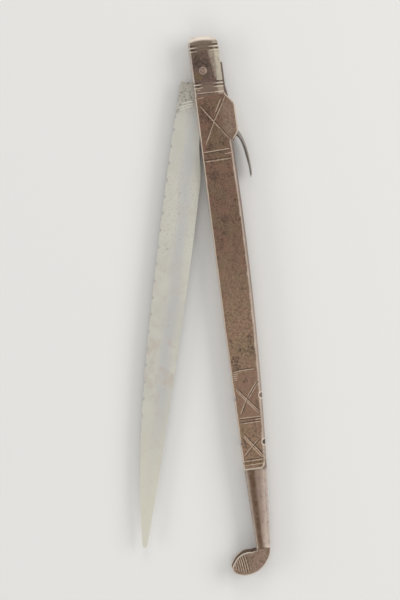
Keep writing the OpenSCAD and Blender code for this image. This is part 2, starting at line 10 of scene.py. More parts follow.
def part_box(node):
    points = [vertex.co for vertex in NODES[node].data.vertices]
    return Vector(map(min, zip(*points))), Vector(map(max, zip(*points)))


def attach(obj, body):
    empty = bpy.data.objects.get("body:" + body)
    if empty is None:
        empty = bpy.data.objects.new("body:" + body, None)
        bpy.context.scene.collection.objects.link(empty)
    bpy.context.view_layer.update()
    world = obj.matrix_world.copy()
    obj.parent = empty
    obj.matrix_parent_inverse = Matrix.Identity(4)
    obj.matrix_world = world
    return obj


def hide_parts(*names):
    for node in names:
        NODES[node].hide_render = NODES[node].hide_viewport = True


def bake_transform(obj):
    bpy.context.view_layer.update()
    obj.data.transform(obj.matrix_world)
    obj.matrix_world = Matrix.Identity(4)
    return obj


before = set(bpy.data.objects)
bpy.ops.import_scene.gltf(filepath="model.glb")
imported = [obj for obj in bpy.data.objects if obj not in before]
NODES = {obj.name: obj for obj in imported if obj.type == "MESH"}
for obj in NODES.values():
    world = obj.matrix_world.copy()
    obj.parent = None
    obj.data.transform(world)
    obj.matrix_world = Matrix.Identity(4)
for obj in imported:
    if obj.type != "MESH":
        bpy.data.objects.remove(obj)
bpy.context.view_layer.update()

# Sizes and places on the knife in millimetres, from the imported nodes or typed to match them
MM = 0.001
FRONT_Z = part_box("front_cheek")[1].z / MM
MID_Z = FRONT_Z / 2
BODY_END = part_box("front_cheek")[1].x / MM
CHEEK_T = 2.8
HALF_BLADE = 2.0
EAR_END = 36
BACK_PEAK = (80.0, 10.9)
BACK_R = 1600.0
BACK_ROUND = 1.9
SLOT_Y = -5.6
SLOT_BEND = 130
SLOT_RISE = 0.6 / 71
HEAD_RINGS = (-12.6, -10.7, 6.0, 7.7)
SCALLOPS = (BODY_END - 36.5, BODY_END - 13.1)
LIP_CORNER = (198.2, 2.6)
KNOB_X = BODY_END + 40
KNOB_IN = 1.4
KNOB_RIVET = (249.9, -4.6)
TAIL_TRIM = 0.45
SPRING_ROOT = 44.0
OPEN_ANGLE = math.radians(14.1)
# Each edge of the tail as its y at the end of the cheeks and its rise for each millimetre on
TAIL_SLOT = (-4.9, 0.0275)
TAIL_BACK = (6.22, -0.0793)


# Camera, straight above the knife as in the photograph

# Middle of the view in metres, its upward direction, the height it shows and the camera's rise
PHOTO_MIDDLE = (0.1135, -0.0161)
PHOTO_UP = (-0.9918, 0.1279)
SEEN_HEIGHT = 0.3
CAMERA_RISE = 0.9
SENSOR = 24


def aim_camera():
    data = bpy.data.cameras.new("overhead_camera")
    data.sensor_fit = "VERTICAL"
    data.sensor_height = SENSOR
    data.lens = SENSOR * CAMERA_RISE / SEEN_HEIGHT
    camera = bpy.data.objects.new("overhead_camera", data)
    camera.location = (*PHOTO_MIDDLE, CAMERA_RISE + FRONT_Z * MM)
    camera.rotation_euler = (0, 0, math.atan2(PHOTO_UP[1], PHOTO_UP[0]) - math.pi / 2)
    bpy.context.scene.collection.objects.link(camera)
    bpy.context.scene.camera = camera


# Shader wiring

def colour(red, green, blue):
    """A display colour as the linear values that a shader takes."""
    def linear(value):
        value /= 255
        return value / 12.92 if value <= 0.04045 else ((value + 0.055) / 1.055) ** 2.4
    return (linear(red), linear(green), linear(blue), 1.0)


def add(tree, kind, inputs=None, **settings):
    """Adds a node; each input takes a value or another node's output."""
    node = tree.nodes.new(kind)
    for name, value in settings.items():
        setattr(node, name, value)
    for key, value in (inputs or {}).items():
        if isinstance(value, bpy.types.NodeSocket):
            tree.links.new(value, node.inputs[key])
        else:
            node.inputs[key].default_value = value
    return node


def calc(tree, operation, a, b=0.0, c=0.0):
    return add(tree, "ShaderNodeMath", {0: a, 1: b, 2: c}, operation=operation).outputs[0]


def times(tree, first, *others):
    """The product of masks and numbers."""
    for other in others:
        first = calc(tree, "MULTIPLY", first, other)
    return first


def minus(tree, a, b):
    return calc(tree, "SUBTRACT", a, b)


def most(tree, *masks):
    """The strongest of several masks at each point."""
    result = masks[0]
    for mask in masks[1:]:
        result = calc(tree, "MAXIMUM", result, mask)
    return result


def distance(tree, across, along):
    """The length of a step given by its two parts."""
    squares = calc(tree, "ADD", calc(tree, "POWER", across, 2.0), calc(tree, "POWER", along, 2.0))
    return calc(tree, "SQRT", squares)


def step(tree, value, low, high, start=0.0, end=1.0):
    """Eases from start to end while value goes from low to high."""
    return add(tree, "ShaderNodeMapRange", {
        "Value": value, "From Min": low, "From Max": high, "To Min": start, "To Max": end,
    }, interpolation_type="SMOOTHSTEP").outputs["Result"]


def band(tree, value, low, high, soft):
    """1 between low and high, 0 outside, with soft ends."""
    falling = step(tree, value, high - soft, high + soft, 1.0, 0.0)
    return times(tree, step(tree, value, low - soft, low + soft), falling)


def mix(tree, factor, a, b):
    return add(tree, "ShaderNodeMix", {0: factor, 6: a, 7: b}, data_type="RGBA").outputs[2]


def paint(tree, tone, mask, shade, amount=1.0):
    """Lays a shade over a tone where the mask is; the shade is a display colour or another tone."""
    if isinstance(shade, tuple):
        shade = colour(*shade)
    if amount < 1.0:
        mask = times(tree, mask, amount)
    return mix(tree, mask, tone, shade)


def noise(tree, vector, scale, detail, rough=0.55, warp=0.0):
    return add(tree, "ShaderNodeTexNoise", {
        "Vector": vector, "Scale": scale, "Detail": detail, "Roughness": rough,
        "Distortion": warp}).outputs["Fac"]


def vector_calc(tree, operation, a, b):
    """Works on vectors; for SCALE the second value is a plain number."""
    second = 3 if operation == "SCALE" else 1
    return add(tree, "ShaderNodeVectorMath", {0: a, second: b}, operation=operation).outputs[0]


def wobble(tree, at, scale, detail, amount):
    """How far noise moves a place, up to the amount along each axis."""
    cloud = add(tree, "ShaderNodeTexNoise", {"Vector": at, "Scale": scale, "Detail": detail})
    return vector_calc(tree, "SCALE", cloud.outputs["Color"], amount)


def parts(tree, vector):
    """The three numbers of a vector."""
    return add(tree, "ShaderNodeSeparateXYZ", {0: vector}).outputs[:3]


def millimetres(tree, at):
    """The place along, across and above the knife."""
    return parts(tree, vector_calc(tree, "SCALE", at, 1 / MM))


def facing(tree):
    """The three parts of the surface's direction."""
    return parts(tree, add(tree, "ShaderNodeNewGeometry").outputs["Normal"])


# Effects that several materials share

FLOAT, COLOUR, VECTOR = "NodeSocketFloat", "NodeSocketColor", "NodeSocketVector"


def shader_group(name, inputs, outputs):
    """An empty node group with named sockets; returns its tree, its inputs and its output node."""
    tree = bpy.data.node_groups.new(name, "ShaderNodeTree")
    for label, kind, value in inputs:
        socket = tree.interface.new_socket(label, in_out="INPUT", socket_type=kind)
        if value is not None:
            socket.default_value = value
    for label, kind in outputs:
        tree.interface.new_socket(label, in_out="OUTPUT", socket_type=kind)
    entry = tree.nodes.new("NodeGroupInput")
    return tree, entry.outputs, tree.nodes.new("NodeGroupOutput")


def mottling_group():
    """Brown patina of old iron: slow changes of tone, dark stains and clustered fine specks."""
    tree, given, out = shader_group("mottling", [
        ("Vector", VECTOR, None), ("Warm", COLOUR, None), ("Olive", COLOUR, None),
        ("Dark", COLOUR, None), ("Pale", COLOUR, None), ("Grain", FLOAT, 1.0)],
        [("Color", COLOUR), ("Height", FLOAT)])
    at = given["Vector"]
    patches = noise(tree, at, 110, 3, 0.55, 0.5)
    stains = noise(tree, at, 300, 4, 0.62, 0.6)
    specks = noise(tree, at, 1250, 3, 0.62, 0.3)
    grains = noise(tree, at, 1500, 2, 0.6)
    tone = mix(tree, step(tree, patches, 0.42, 0.6, 0.0, 0.8), given["Warm"], given["Olive"])
    tone = paint(tree, tone, step(tree, stains, 0.5, 0.68, 0.0, 0.5), given["Dark"])
    cluster = step(tree, noise(tree, at, 190, 2, 0.5, 0.4), 0.4, 0.58, 0.25, 1.0)
    dark = times(tree, step(tree, specks, 0.49, 0.6), cluster, given["Grain"])
    tone = paint(tree, tone, dark, given["Dark"], 0.85)
    rubbed = times(tree, step(tree, grains, 0.48, 0.62), given["Grain"])
    tone = paint(tree, tone, rubbed, given["Pale"], 0.5)
    tree.links.new(tone, out.inputs["Color"])
    tree.links.new(minus(tree, times(tree, grains, 0.35), times(tree, dark, 0.6)), out.inputs["Height"])
    return tree


def pitting_group():
    """Small round corrosion pits in loose clusters."""
    tree, given, out = shader_group("pitting", [
        ("Vector", VECTOR, None), ("Scale", FLOAT, 500.0), ("Amount", FLOAT, 0.4)],
        [("Mask", FLOAT), ("Height", FLOAT)])
    at = given["Vector"]
    moved = vector_calc(tree, "ADD", at, wobble(tree, at, 1500.0, 2.0, 0.0006))
    cells = add(tree, "ShaderNodeTexVoronoi", {"Vector": moved, "Scale": given["Scale"]})
    chance = add(tree, "ShaderNodeSeparateColor", {0: cells.outputs["Color"]}).outputs[0]
    cluster = step(tree, noise(tree, at, 130, 2), 0.4, 0.65)
    kept = calc(tree, "LESS_THAN", chance, times(tree, cluster, given["Amount"]))
    size = calc(tree, "MULTIPLY_ADD", chance, 0.35, 0.18)
    edge = calc(tree, "DIVIDE", cells.outputs["Distance"], size)
    mask = times(tree, step(tree, edge, 1.0, 0.45), kept)
    tree.links.new(mask, out.inputs["Mask"])
    tree.links.new(times(tree, mask, -1.0), out.inputs["Height"])
    return tree


def worn_edge_group():
    """Where a surface leans away from the flat face it is rubbed bright, down to its upright side."""
    tree, given, out = shader_group("worn_edge", [
        ("Vector", VECTOR, None), ("Start", FLOAT, 0.02), ("Full", FLOAT, 0.2)], [("Mask", FLOAT)])
    lean = minus(tree, 1.0, calc(tree, "ABSOLUTE", facing(tree)[2]))
    rub = step(tree, lean, given["Start"], given["Full"])
    broken = step(tree, noise(tree, given["Vector"], 650, 4), 0.3, 0.5, 0.45, 1.0)
    side = step(tree, lean, 0.82, 0.97, 1.0, 0.35)
    tree.links.new(times(tree, rub, broken, side), out.inputs["Mask"])
    return tree


def satin_group():
    """Fine lengthwise polishing lines with slow cloudy changes."""
    tree, given, out = shader_group("satin", [
        ("Vector", VECTOR, None), ("Along", FLOAT, 60.0), ("Across", FLOAT, 2600.0)],
        [("Lines", FLOAT), ("Clouds", FLOAT)])
    stretch = add(tree, "ShaderNodeCombineXYZ", {
        0: given["Along"], 1: given["Across"], 2: given["Across"]}).outputs[0]
    drawn = vector_calc(tree, "MULTIPLY", given["Vector"], stretch)
    tree.links.new(noise(tree, drawn, 1.0, 3, 0.6), out.inputs["Lines"])
    tree.links.new(noise(tree, given["Vector"], 70, 4, 0.6, 0.4), out.inputs["Clouds"])
    return tree


EFFECTS = {"mottling": mottling_group(), "pitting": pitting_group(),
           "worn_edge": worn_edge_group(), "satin": satin_group()}


def effect(tree, name, **inputs):
    """Places a shared effect in a material with its own values."""
    return add(tree, "ShaderNodeGroup", inputs, node_tree=EFFECTS[name]).outputs


def spots(tree, at, places):
    """Soft uneven stains at given places, each (x, y, radius) in millimetres."""
    wander = 2.2
    scaled = vector_calc(tree, "SCALE", at, 1 / MM)
    moved = vector_calc(tree, "ADD", scaled, wobble(tree, at, 700.0, 3.0, wander))
    flat = vector_calc(tree, "MULTIPLY", moved, (1, 1, 0))
    found = []
    # The noise is about a half on average, so each middle moves by half the wander
    for x, y, radius in places:
        middle = (x + wander / 2, y + wander / 2, 0)
        away = add(tree, "ShaderNodeVectorMath", {0: flat, 1: middle}, operation="DISTANCE").outputs["Value"]
        found.append(step(tree, away, radius * 0.5, radius, 1.0, 0.0))
    broken = step(tree, noise(tree, at, 800, 3, 0.65, 0.3), 0.42, 0.58, 0.15, 1.0)
    return times(tree, most(tree, *found), broken)


def cross_hatch(tree, at, pitch):
    """Worn hatching lines in two directions, pitch in millimetres."""
    x, y, _ = millimetres(tree, at)
    turn = 2 * math.pi / pitch / math.sqrt(2)
    there = calc(tree, "SINE", times(tree, calc(tree, "ADD", x, y), turn))
    back = calc(tree, "SINE", times(tree, minus(tree, x, y), turn))
    lines = most(tree, step(tree, there, 0.3, 0.9), step(tree, back, 0.3, 0.9, 0.0, 0.8))
    kept = step(tree, noise(tree, at, 300, 4, 0.65, 0.5), 0.36, 0.6, 0.2, 1.0)
    return times(tree, lines, kept)


# Iron and steel

METAL = 0.35


def new_material(name, metallic):
    """A material, its node tree and shader, and the place on the knife that its patterns read."""
    material = bpy.data.materials.new(name)
    material.use_nodes = True
    tree = material.node_tree
    shader = tree.nodes["Principled BSDF"]
    shader.inputs["Metallic"].default_value = metallic
    return material, tree, shader, add(tree, "ShaderNodeTexCoord").outputs["Object"]


def wire(tree, shader, tone, rough, height, depth):
    """Joins colour, roughness and bump to the shader; depth is in metres."""
    tree.links.new(tone, shader.inputs["Base Color"])
    tree.links.new(rough, shader.inputs["Roughness"])
    relief = add(tree, "ShaderNodeBump", {"Height": height, "Distance": depth})
    tree.links.new(relief.outputs["Normal"], shader.inputs["Normal"])


def iron(name, warm, olive, dark, pale, worn, pits=0.5, lean=(0.005, 0.08), grain=1.0, places=None):
    """Old forged iron: patina, pits, edges rubbed to metal, and what is found at given places."""
    material, tree, shader, at = new_material(name, METAL)
    patina = effect(tree, "mottling", Vector=at, Warm=colour(*warm), Olive=colour(*olive),
                    Dark=colour(*dark), Pale=colour(*pale), Grain=grain)
    holes = effect(tree, "pitting", Vector=at, Scale=700.0, Amount=pits)
    rub = effect(tree, "worn_edge", Vector=at, Start=lean[0], Full=lean[1])["Mask"]
    tone = paint(tree, patina["Color"], holes["Mask"], dark, 0.7)
    if places:
        tone, rub = places(tree, at, tone, rub)
    # Rubbed metal; on the head and along the tail's slot edge this also lays painted highlights
    tone = paint(tree, tone, rub, worn)
    rough = calc(tree, "MULTIPLY_ADD", rub, -0.14, 0.58)
    height = calc(tree, "ADD", patina["Height"], times(tree, holes["Height"], 0.8))
    wire(tree, shader, tone, rough, height, 0.0001)
    return material


def steel(name, tone, shade, spot, pits=0.2, turn=0.0, places=None):
    """Satin steel gone slightly grey, with a few pits and stains; its lines run at a given turn."""
    material, tree, shader, at = new_material(name, METAL)
    turned = add(tree, "ShaderNodeMapping", {"Vector": at, "Rotation": (0, 0, turn)}).outputs[0]
    satin = effect(tree, "satin", Vector=turned)
    holes = effect(tree, "pitting", Vector=at, Scale=900.0, Amount=pits)
    rub = effect(tree, "worn_edge", Vector=at, Start=0.03, Full=0.3)["Mask"]
    face = mix(tree, step(tree, satin["Clouds"], 0.4, 0.62), colour(*tone), colour(*shade))
    if places:
        face = places(tree, turned, face)
    face = paint(tree, face, holes["Mask"], spot, 0.7)
    face = paint(tree, face, rub, (214, 210, 200), 0.5)
    rough = calc(tree, "MULTIPLY_ADD", satin["Lines"], 0.16, 0.36)
    height = calc(tree, "ADD", times(tree, satin["Lines"], 0.12), holes["Height"])
    wire(tree, shader, face, rough, height, 0.00006)
    return material


# What is found at given places of the handle, in millimetres

def cheek_tones(tree, at, tone):
    """Paler towards the tail, a darker panel, a paler ear, worn hatching and dark stains."""
    x, y, _ = millimetres(tree, at)
    grit = step(tree, noise(tree, at, 800, 5, 0.68, 0.4), 0.4, 0.62)
    cloud = step(tree, noise(tree, at, 170, 3, 0.6, 0.5), 0.38, 0.62)
    paler = mix(tree, cloud, colour(160, 130, 106), colour(150, 130, 100))
    paler = paint(tree, paler, grit, (118, 92, 74))
    tone = paint(tree, tone, step(tree, x, 75, 130, 0.0, 0.75), paler)
    tone = paint(tree, tone, band(tree, x, 152, 176, 3), (134, 104, 86), 0.5)
    ear_tone = mix(tree, grit, colour(154, 132, 114), colour(120, 98, 84))
    on_ear = times(tree, band(tree, x, 16, 34, 2), step(tree, y, 4.5, 9.5, 0.0, 0.7))
    tone = paint(tree, tone, on_ear, ear_tone)
    field = times(tree, band(tree, x, 17, 26, 1), band(tree, y, -4.2, 1.2, 0.8), 0.55)
    tone = paint(tree, tone, times(tree, cross_hatch(tree, at, 1.0), field), (78, 58, 46))
    stains = spots(tree, at, [
        (39.0, -1.0, 2.2), (53.0, -0.6, 3.6), (74.5, 1.4, 2.8), (82.0, 0.6, 2.2), (111.0, 6.0, 1.6),
        (136.0, 7.0, 3.4), (141.0, 6.6, 3.2), (136.0, -3.8, 1.3), (141.5, 1.4, 2.0),
        (145.5, -2.6, 2.8), (149.0, -2.2, 2.4), (156.0, 1.0, 1.8)])
    return paint(tree, tone, stains, (78, 62, 50), 0.8)


def lip_masks(tree, x, y):
    """The rounded corner at the end of the cheek: what is past it, and the bright rim along it."""
    past_x = calc(tree, "MAXIMUM", minus(tree, x, LIP_CORNER[0]), 0.0)
    past_y = calc(tree, "MAXIMUM", minus(tree, y, LIP_CORNER[1]), 0.0)
    radius = distance(tree, past_x, past_y)
    there = times(tree, calc(tree, "GREATER_THAN", past_x, 0.0), calc(tree, "GREATER_THAN", past_y, 0.0))
    corner = times(tree, step(tree, radius, 2.9, 3.1), there)
    return corner, times(tree, band(tree, radius, 2.3, 2.85, 0.15), there)


def scallop_masks(tree, x, from_back):
    """The two hollows filed in the back edge, and the bright rims round them."""
    hollows, rims = [], []
    for centre, strength in zip(SCALLOPS, (0.4, 1.0)):
        away = distance(tree, minus(tree, x, centre), minus(tree, from_back, 0.2))
        hollows.append(step(tree, away, 1.0, 1.35, strength, 0.0))
        rims.append(times(tree, band(tree, away, 1.35, 1.9, 0.1), 0.8))
    return most(tree, *hollows), most(tree, *rims)


def cheek_places(tree, at, tone, rub):
    """The cheeks' tones; rubbed metal with painted highlights and a painted falloff along both edges, rubbed
    metal at the lip and by the scallops.
    """
    x, y, _ = millimetres(tree, at)
    tone = cheek_tones(tree, at, tone)
    sway = noise(tree, at, 260, 4, 0.6, 0.4)
    rise = calc(tree, "MAXIMUM", calc(tree, "MULTIPLY_ADD", x, SLOT_RISE, -SLOT_BEND * SLOT_RISE), 0.0)
    from_slot = minus(tree, minus(tree, y, SLOT_Y), rise)
    past_slot_highlight = step(tree, calc(tree, "MULTIPLY_ADD", sway, 0.5, from_slot), 0.55, 0.95)
    # Painted highlight with rubbed metal along the slot edge, fading out about a millimetre from it
    tone = mix(tree, past_slot_highlight, colour(204, 186, 168), tone)
    past_peak = minus(tree, x, BACK_PEAK[0])
    back = calc(tree, "MULTIPLY_ADD", times(tree, past_peak, past_peak), -0.5 / BACK_R, BACK_PEAK[1])
    from_back = minus(tree, back, y)
    behind_ear = step(tree, x, EAR_END - 1.5, EAR_END + 0.5)
    # Painted highlight on the rounded back edge, falling off to a painted darker tone at its outer side,
    # over rubbed metal
    back_rub_and_sheen = step(tree, calc(tree, "MULTIPLY_ADD", sway, 1.6, from_back), 1.9, 2.9, 0.92, 0.0)
    outer_falloff_tone = mix(tree, step(tree, x, 60, 150), colour(136, 120, 110), colour(164, 149, 135))
    back_round_shading = paint(tree, outer_falloff_tone, step(tree, from_back, 0.75, 1.25), (188, 172, 158))
    tone = paint(tree, tone, times(tree, back_rub_and_sheen, behind_ear), back_round_shading)
    corner, corner_rim = lip_masks(tree, x, y)
    hollow, hollow_rim = scallop_masks(tree, x, from_back)
    end_rub = most(tree, step(tree, x, BODY_END - 1.0, BODY_END - 0.5), corner_rim)
    end_rub = times(tree, end_rub, minus(tree, 0.8, corner))
    more = times(tree, most(tree, end_rub, hollow_rim), minus(tree, 1.0, hollow))
    tone = paint(tree, tone, corner, (116, 98, 86), 0.8)
    tone = paint(tree, tone, hollow, (80, 64, 54), 0.8)
    return tone, most(tree, times(tree, rub, minus(tree, 0.78, behind_ear)), more)


def ring_tones(tree, at, tone):
    """Dark turned grooves with painted highlights on the ridges beside them, fading toward the middle, where
    the grooves are painted lighter against their own shade.
    """
    x, y, _ = millimetres(tree, at)
    from_middle = calc(tree, "ABSOLUTE", minus(tree, y, 1.4))
    ends = times(tree, step(tree, from_middle, 2.0, 5.0),
                 step(tree, noise(tree, at, 520, 3), 0.36, 0.56, 0.45, 1.0))
    groove = most(tree, *[band(tree, x, ring - 0.36, ring + 0.36, 0.08) for ring in HEAD_RINGS])
    ridge = most(tree, *[band(tree, x, ring + 0.6, ring + 1.05, 0.2) for ring in HEAD_RINGS])
    # Painted highlight on the ridge beside each groove, strongest at the ends
    tone = paint(tree, tone, times(tree, ridge, ends), (206, 194, 174))
    tone = paint(tree, tone, times(tree, groove, ends), (62, 48, 41))
    # The grooves painted lighter in the middle, to cancel the shade of their real hollows
    return paint(tree, tone, times(tree, groove, minus(tree, 1.0, ends)), (146, 124, 110), 0.7)


def head_places(tree, at, tone, rub):
    """Pale back facet, painted highlights with rubbed metal on its edges and dome end, stains, rings,
    painted shade by the lever.
    """
    x, y, _ = millimetres(tree, at)
    lean_x, lean_y, _ = facing(tree)
    broken = step(tree, noise(tree, at, 420, 4, 0.6, 0.4), 0.3, 0.6, 0.7, 1.0)
    # Paler where the surface faces the back: the facet's own pale metal with a painted highlight
    facet = times(tree, step(tree, lean_y, 0.1, 0.3), broken)
    tone = paint(tree, tone, facet, (184, 175, 157), 0.9)
    past_line = calc(tree, "ADD", y, calc(tree, "MULTIPLY_ADD", x, -0.15, -4.6))
    cloudy = step(tree, noise(tree, at, 520, 4, 0.65, 0.5), 0.36, 0.6, 0.25, 0.9)
    beside_facet = times(tree, step(tree, past_line, -0.5, 1.2), band(tree, x, -10.0, 4.5, 0.6),
                         step(tree, lean_y, 0.1, 0.3, 1.0, 0.0), cloudy)
    tone = paint(tree, tone, beside_facet, (162, 148, 130))
    tone = paint(tree, tone, step(tree, x, -12.0, -9.0, 0.55, 0.0), (134, 118, 102))
    tone = paint(tree, tone, step(tree, x, 5.2, 8.0, 0.0, 0.55), (132, 112, 97))
    rust = spots(tree, at, [(3.0, -2.4, 2.0), (1.6, -3.6, 1.6)])
    tone = paint(tree, tone, rust, (120, 96, 56), 0.6)
    stains = spots(tree, at, [(-3.2, -3.0, 2.0), (-4.2, 1.6, 2.4), (-2.6, 2.6, 1.6), (-6.0, -2.5, 2.0)])
    tone = paint(tree, tone, stains, (56, 42, 34), 0.75)
    tone = ring_tones(tree, at, tone)
    line = times(tree, band(tree, x, 11.0, 11.45, 0.1), step(tree, y, 4.2, 4.8))
    tone = paint(tree, tone, line, (206, 188, 168), 0.8)
    by_arm = step(tree, x, -4.0, -3.2)
    # Painted shadow along the head's back edge where the lever's arm lies beside it
    tone = paint(tree, tone, times(tree, step(tree, y, 9.0, 9.4), by_arm), (86, 72, 62), 0.8)
    # Rubbed metal with painted highlights on the slot edge, on the dome end where it faces the head end, and
    # on the side facing the back
    slot_rub_and_sheen = times(tree, step(tree, minus(tree, y, SLOT_Y), 0.5, 1.0, 0.65, 0.0), broken)
    end_rub = step(tree, times(tree, lean_x, -1.0), 0.22, 0.4)
    side_rub_and_sheen = times(tree, step(tree, lean_y, 0.52, 0.62, 0.0, 0.5), minus(tree, 1.0, by_arm))
    return tone, most(tree, slot_rub_and_sheen, end_rub, side_rub_and_sheen)


def tail_places(tree, at, tone, rub):
    """A painted shade stripe and a pale stripe with a painted highlight along the tail, a thin dark line by
    the back, hatching on the knob.
    """
    x, y, _ = millimetres(tree, at)
    along = minus(tree, x, BODY_END)
    slot = calc(tree, "MULTIPLY_ADD", along, TAIL_SLOT[1], TAIL_SLOT[0])
    depth = minus(tree, calc(tree, "MULTIPLY_ADD", along, TAIL_BACK[1], TAIL_BACK[0]), slot)
    across = calc(tree, "DIVIDE", minus(tree, y, slot), depth)
    across = calc(tree, "ADD", across, calc(tree, "MULTIPLY_ADD", noise(tree, at, 160, 3), 0.12, -0.06))
    on_tail = step(tree, x, KNOB_X - 0.8, KNOB_X - 0.3, 1.0, 0.0)
    tone = paint(tree, tone, on_tail, (136, 113, 98))
    patchy = step(tree, noise(tree, at, 340, 4, 0.62, 0.5), 0.36, 0.6, 0.6, 0.95)
    # Painted shade: a brown stripe where the tail's rounded section turns away from the lamps
    shade_stripe = times(tree, band(tree, across, 0.17, 0.43, 0.07), on_tail, patchy)
    tone = paint(tree, tone, shade_stripe, (92, 68, 46))
    # Painted highlight: a pale stripe on the facet that faces the back-side lamp
    pale = times(tree, step(tree, across, 0.42, 0.6), on_tail)
    lighter = mix(tree, step(tree, x, 222, 236), colour(158, 136, 123), colour(176, 156, 142))
    tone = paint(tree, tone, times(tree, pale, patchy), lighter)
    streaks = step(tree, noise(tree, at, 420, 4, 0.65, 0.8), 0.5, 0.62, 0.0, 0.45)
    tone = paint(tree, tone, times(tree, streaks, pale), (110, 92, 84))
    line = times(tree, band(tree, across, 0.865, 0.925, 0.02), on_tail)
    tone = paint(tree, tone, line, (94, 82, 76), 0.7)
    joint = times(tree, band(tree, x, KNOB_X - 0.6, KNOB_X, 0.15), step(tree, y, -0.5, 0.5, 1.0, 0.0))
    tone = paint(tree, tone, joint, (92, 72, 58), 0.7)
    tone = paint(tree, tone, times(tree, step(tree, across, 0.1, 0.16, 0.8, 0.0), on_tail), (124, 106, 86))
    on_knob = step(tree, x, KNOB_X - 0.2, KNOB_X + 0.6, 0.0, 0.5)
    tone = paint(tree, tone, times(tree, cross_hatch(tree, at, 0.9), on_knob), (96, 78, 64))
    # Rubbed metal with a painted highlight along the slot edge
    slot_rub_and_sheen = times(tree, step(tree, across, 0.09, 0.14, 0.3, 0.0), on_tail)
    less_on_tail = step(tree, x, KNOB_X - 2.5, KNOB_X + 0.5, 0.45, 1.0)
    return tone, most(tree, times(tree, rub, less_on_tail), slot_rub_and_sheen)


# What is found at given places of the blade and the lever, in millimetres

def blade_places(tree, at, face):
    """Speckled ricasso, a greyer middle and a few dark spots; x is along the blade."""
    x, y, _ = millimetres(tree, at)
    sway = calc(tree, "MULTIPLY_ADD", noise(tree, at, 60, 2), 4.0, -2.0)
    middle = band(tree, calc(tree, "ADD", y, sway), -4.5, 1.0, 2.0)
    face = paint(tree, face, middle, (188, 186, 186), 0.6)
    beige = times(tree, step(tree, noise(tree, at, 120, 4, 0.6, 0.5), 0.48, 0.68),
                  step(tree, x, 90, 150, 0.2, 0.7))
    face = paint(tree, face, beige, (190, 178, 166))
    face = paint(tree, face, step(tree, x, 150, 225, 0.0, 0.9), (214, 210, 194))
    near = step(tree, x, 13, 25, 1.0, 0.0)
    face = paint(tree, face, near, (176, 170, 158), 0.8)
    grime = times(tree, step(tree, noise(tree, at, 950, 4, 0.65, 0.4), 0.5, 0.64), near)
    face = paint(tree, face, grime, (112, 104, 94), 0.75)
    specks = times(tree, step(tree, noise(tree, at, 1500, 2), 0.6, 0.68), band(tree, x, 48, 100, 10))
    face = paint(tree, face, specks, (136, 132, 120), 0.5)
    stains = spots(tree, at, [
        (11.4, -8.8, 1.1), (21.0, -10.3, 1.3), (18.0, -9.6, 0.9), (24.0, -11.6, 1.2), (62.0, -4.4, 0.9),
        (72.0, -3.6, 0.7)])
    return paint(tree, face, stains, (84, 78, 70), 0.75)


def lever_places(tree, at, face):
    """Dark arm over the head, and a thumb tail with painted shade on its inner face and a painted highlight
    on its outer edge.
    """
    x, y, _ = millimetres(tree, at)
    face = paint(tree, face, step(tree, x, 14, 26, 0.9, 0.0), (122, 105, 94))
    # The ridge between inside and outside climbs from 13.5, where x is 34, towards 17.5
    fall = times(tree, calc(tree, "EXPONENT", times(tree, minus(tree, x, 34.0), -1 / 6)), 4.0)
    from_ridge = minus(tree, y, minus(tree, 17.5, fall))
    on_thumb = step(tree, x, 30, 33)
    # Painted highlight on the thumb tail's outer edge
    outside = times(tree, step(tree, from_ridge, 0.0, 0.4), on_thumb)
    face = paint(tree, face, outside, (158, 150, 143))
    # Painted shade on the thumb tail's inner face
    inside = times(tree, step(tree, from_ridge, -0.25, 0.25, 0.95, 0.0), on_thumb)
    face = paint(tree, face, inside, (66, 59, 52))
    return paint(tree, face, step(tree, x, 54.2, 55.0), (186, 180, 172))


# Each iron's warm, olive, dark, pale and worn tones, and each steel's tone, shade and spot

IRONS = {
    "handle_iron": ([(118, 88, 71), (112, 92, 69), (66, 46, 36), (146, 119, 98), (206, 192, 176)],
                    {"places": cheek_places}),
    # The head's worn tone also paints its highlights
    "head_iron": ([(100, 78, 68), (96, 80, 64), (56, 42, 35), (132, 112, 96), (220, 208, 194)],
                  {"places": head_places}),
    "tail_iron": ([(148, 123, 107), (144, 122, 100), (92, 72, 58), (172, 149, 131), (204, 190, 178)],
                  {"pits": 0.3, "places": tail_places}),
    "knob_rim": ([(186, 171, 158), (180, 165, 150), (134, 116, 102), (202, 188, 175), (204, 191, 178)],
                 {"pits": 0.15}),
    "worn_iron": ([(140, 122, 108), (134, 118, 102), (92, 76, 66), (168, 150, 136), (186, 170, 158)],
                  {"pits": 0.3}),
    "cut_line": ([(196, 174, 154), (188, 168, 146), (134, 112, 96), (212, 194, 176), (204, 184, 166)],
                 {"pits": 0.0, "lean": (0.5, 0.95), "grain": 0.6}),
    "cut_shade": ([(84, 64, 53), (82, 65, 51), (62, 46, 38), (106, 86, 72), (94, 76, 64)],
                  {"pits": 0.0, "lean": (0.5, 0.95), "grain": 0.8}),
    "pivot_rivet": ([(142, 120, 106), (136, 118, 102), (88, 70, 60), (164, 142, 128), (156, 136, 122)],
                    {"pits": 0.3, "lean": (0.03, 0.14)}),
}
STEELS = {
    "lever_steel": ([(146, 138, 130), (136, 128, 120), (84, 74, 66)], {"pits": 0.3, "places": lever_places}),
    "blade_steel": ([(205, 202, 190), (199, 197, 186), (120, 114, 102)],
                    {"turn": OPEN_ANGLE, "places": blade_places}),
    "blade_line": ([(214, 212, 200), (204, 202, 190), (150, 144, 132)], {"turn": OPEN_ANGLE}),
    "spring_steel": ([(116, 108, 100), (92, 84, 76), (60, 52, 46)], {}),
    "washer_brass": ([(176, 146, 92), (150, 120, 72), (96, 74, 46)], {}),
}


def make_materials():
    made = {name: iron(name, *tones, **more) for name, (tones, more) in IRONS.items()}
    made.update({name: steel(name, *tones, **more) for name, (tones, more) in STEELS.items()})
    return made


# Making pieces

